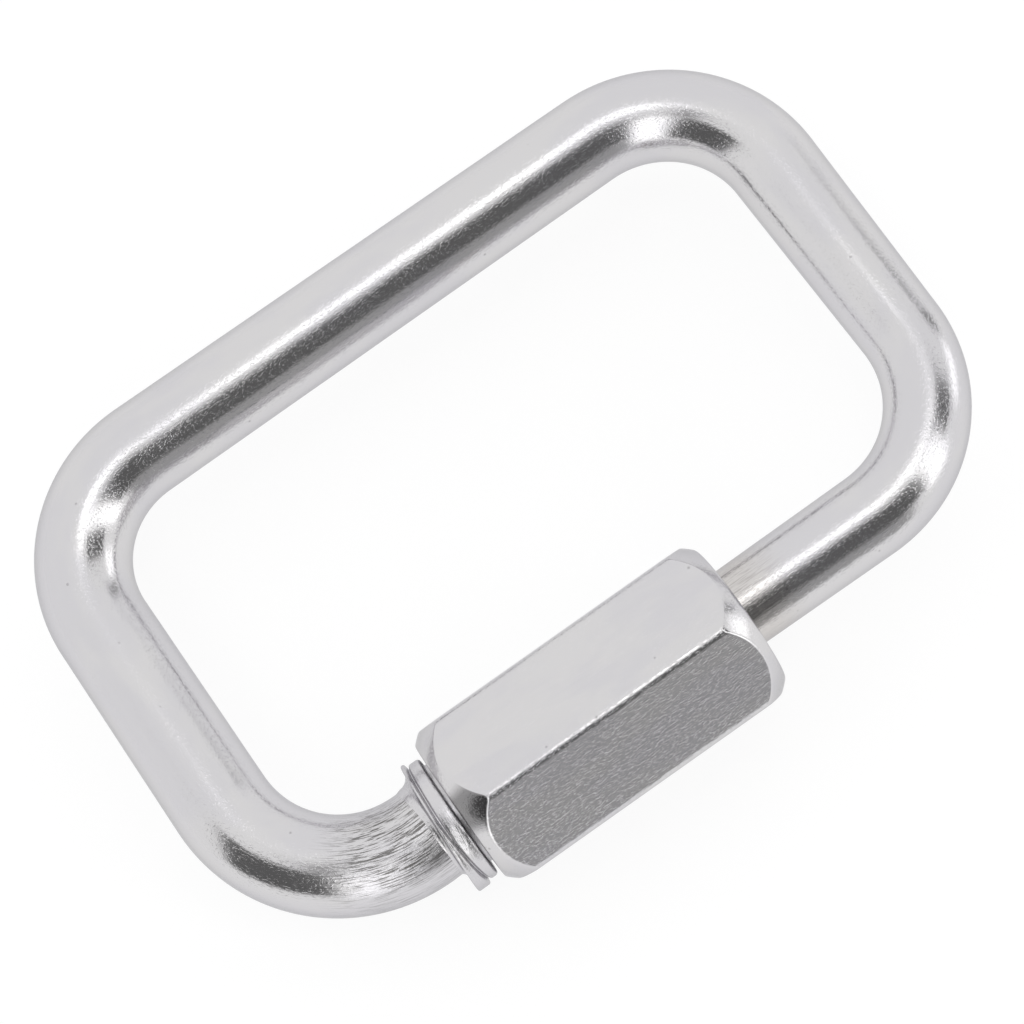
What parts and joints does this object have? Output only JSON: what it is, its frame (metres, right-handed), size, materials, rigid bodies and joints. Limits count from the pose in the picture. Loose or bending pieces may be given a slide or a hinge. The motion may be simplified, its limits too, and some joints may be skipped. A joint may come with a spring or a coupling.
{
  "type": "quick link",
  "caption": "Square-form steel quick link: a bent rod loop closed by a long hexagonal sleeve nut that screws back along the plain arm to open it.",
  "frame": {"origin": "middle of the closed link's overall box, in the plane of the rod", "axes": "+X along the nut, from the collar to the plain arm; +Y from the nut to the back bar; +Z out of the loop"},
  "size_m": [0.052, 0.0362, 0.011],
  "materials": {
    "rod_steel": "polished stainless with fine lengthwise marks",
    "nut_steel": "satin stainless flats with lengthwise grain, turned chamfers"
  },
  "bodies": {
    "link": {"link_body": "rod_steel"},
    "nut": {"sleeve_nut": "nut_steel"}
  },
  "joints": [
    {"name": "nut_travel", "type": "slide", "parent": "link", "child": "nut", "axis": [1, 0, 0], "range_m": [0, 0.0083]}
  ]
}
